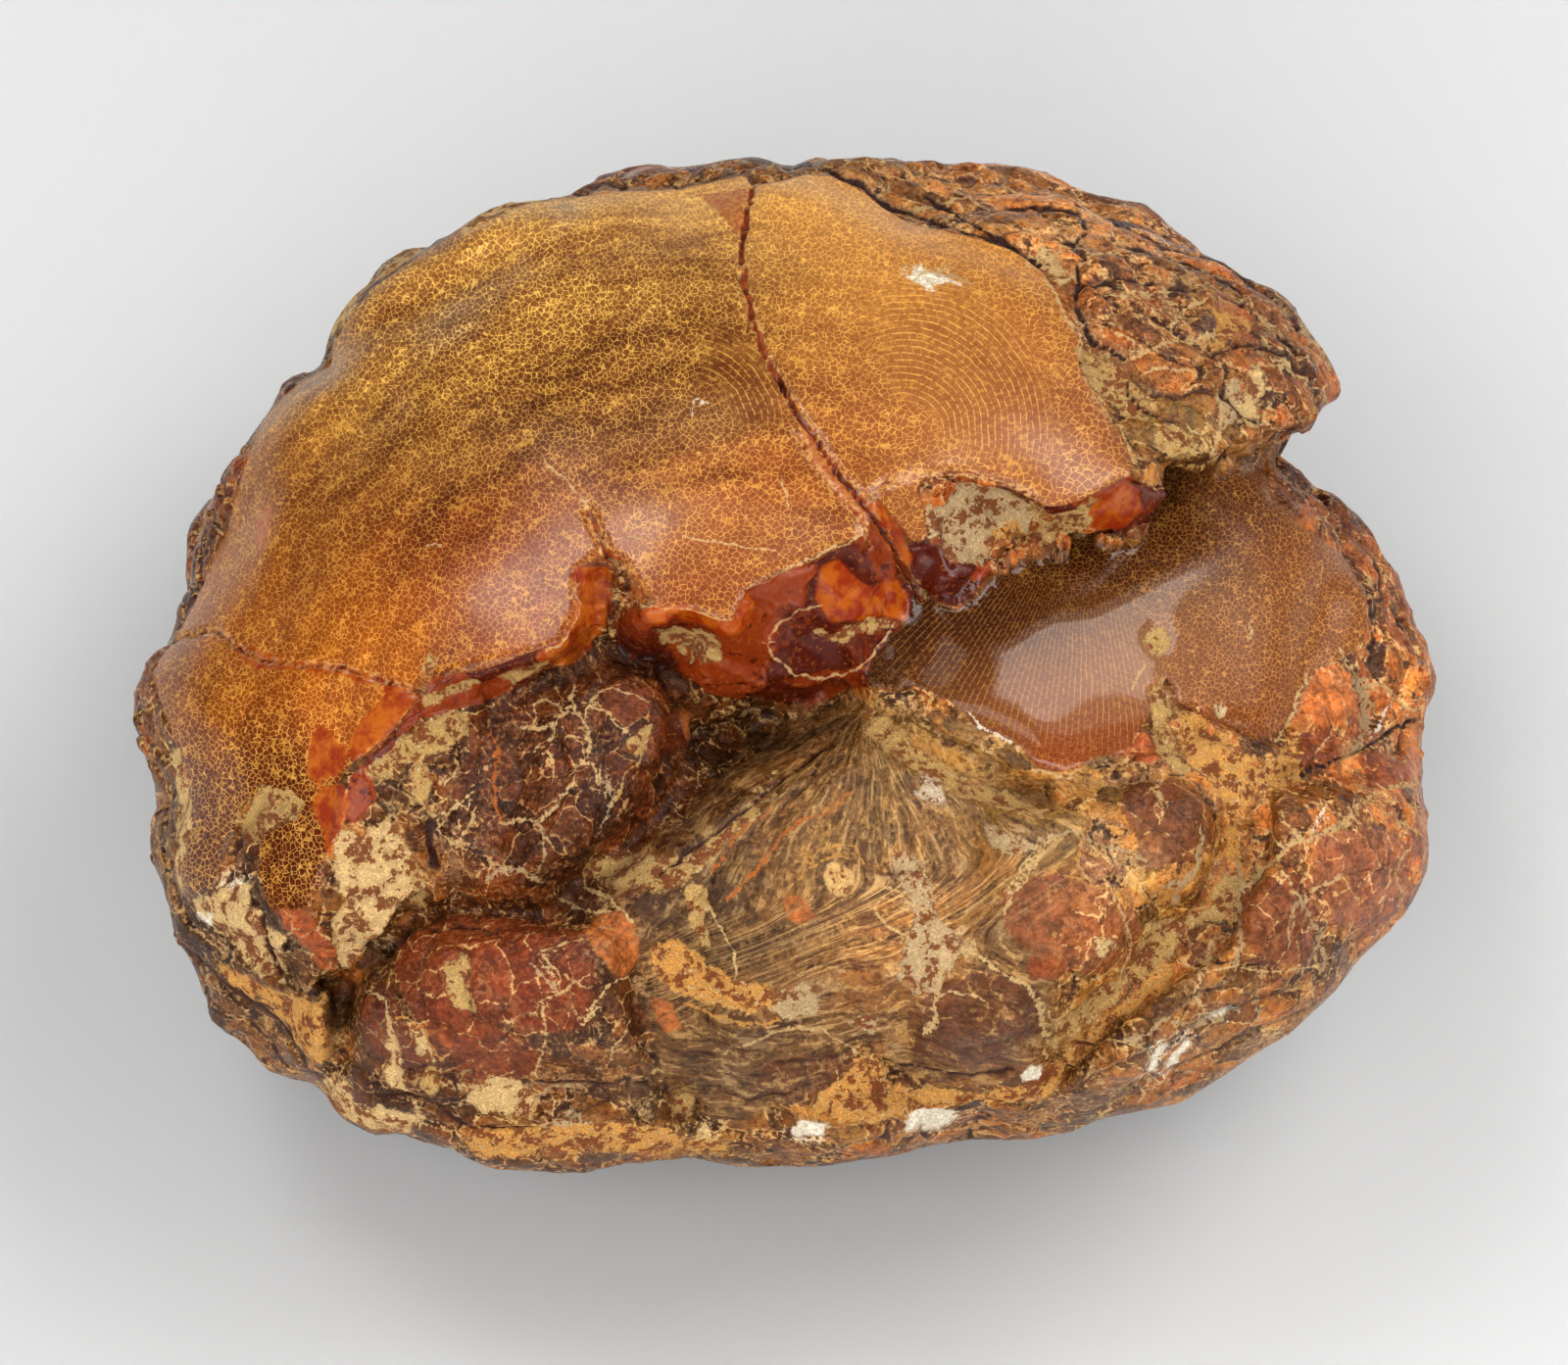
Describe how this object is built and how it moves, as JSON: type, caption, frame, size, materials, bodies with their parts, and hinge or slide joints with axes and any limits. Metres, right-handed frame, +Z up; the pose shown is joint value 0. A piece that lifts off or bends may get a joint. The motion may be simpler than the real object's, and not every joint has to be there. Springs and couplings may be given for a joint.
{
  "type": "raw amber nodule",
  "caption": "Rounded lump of raw amber with a glossy crackled cap that overhangs crusted, folded resin flows, resting on a small flat spot.",
  "frame": {"origin": "bottom centre of the lump's bounding box, on the surface that it rests on", "axes": "+X along the lump's width to the right as seen from its broken front, +Y towards its back, +Z up from the flat spot it rests on"},
  "size_m": [0.201, 0.1794, 0.1094],
  "materials": {
    "amber_nodule": "glossy"
  },
  "bodies": {
    "root": {"amber_nodule": "amber_nodule"}
  },
  "joints": []
}
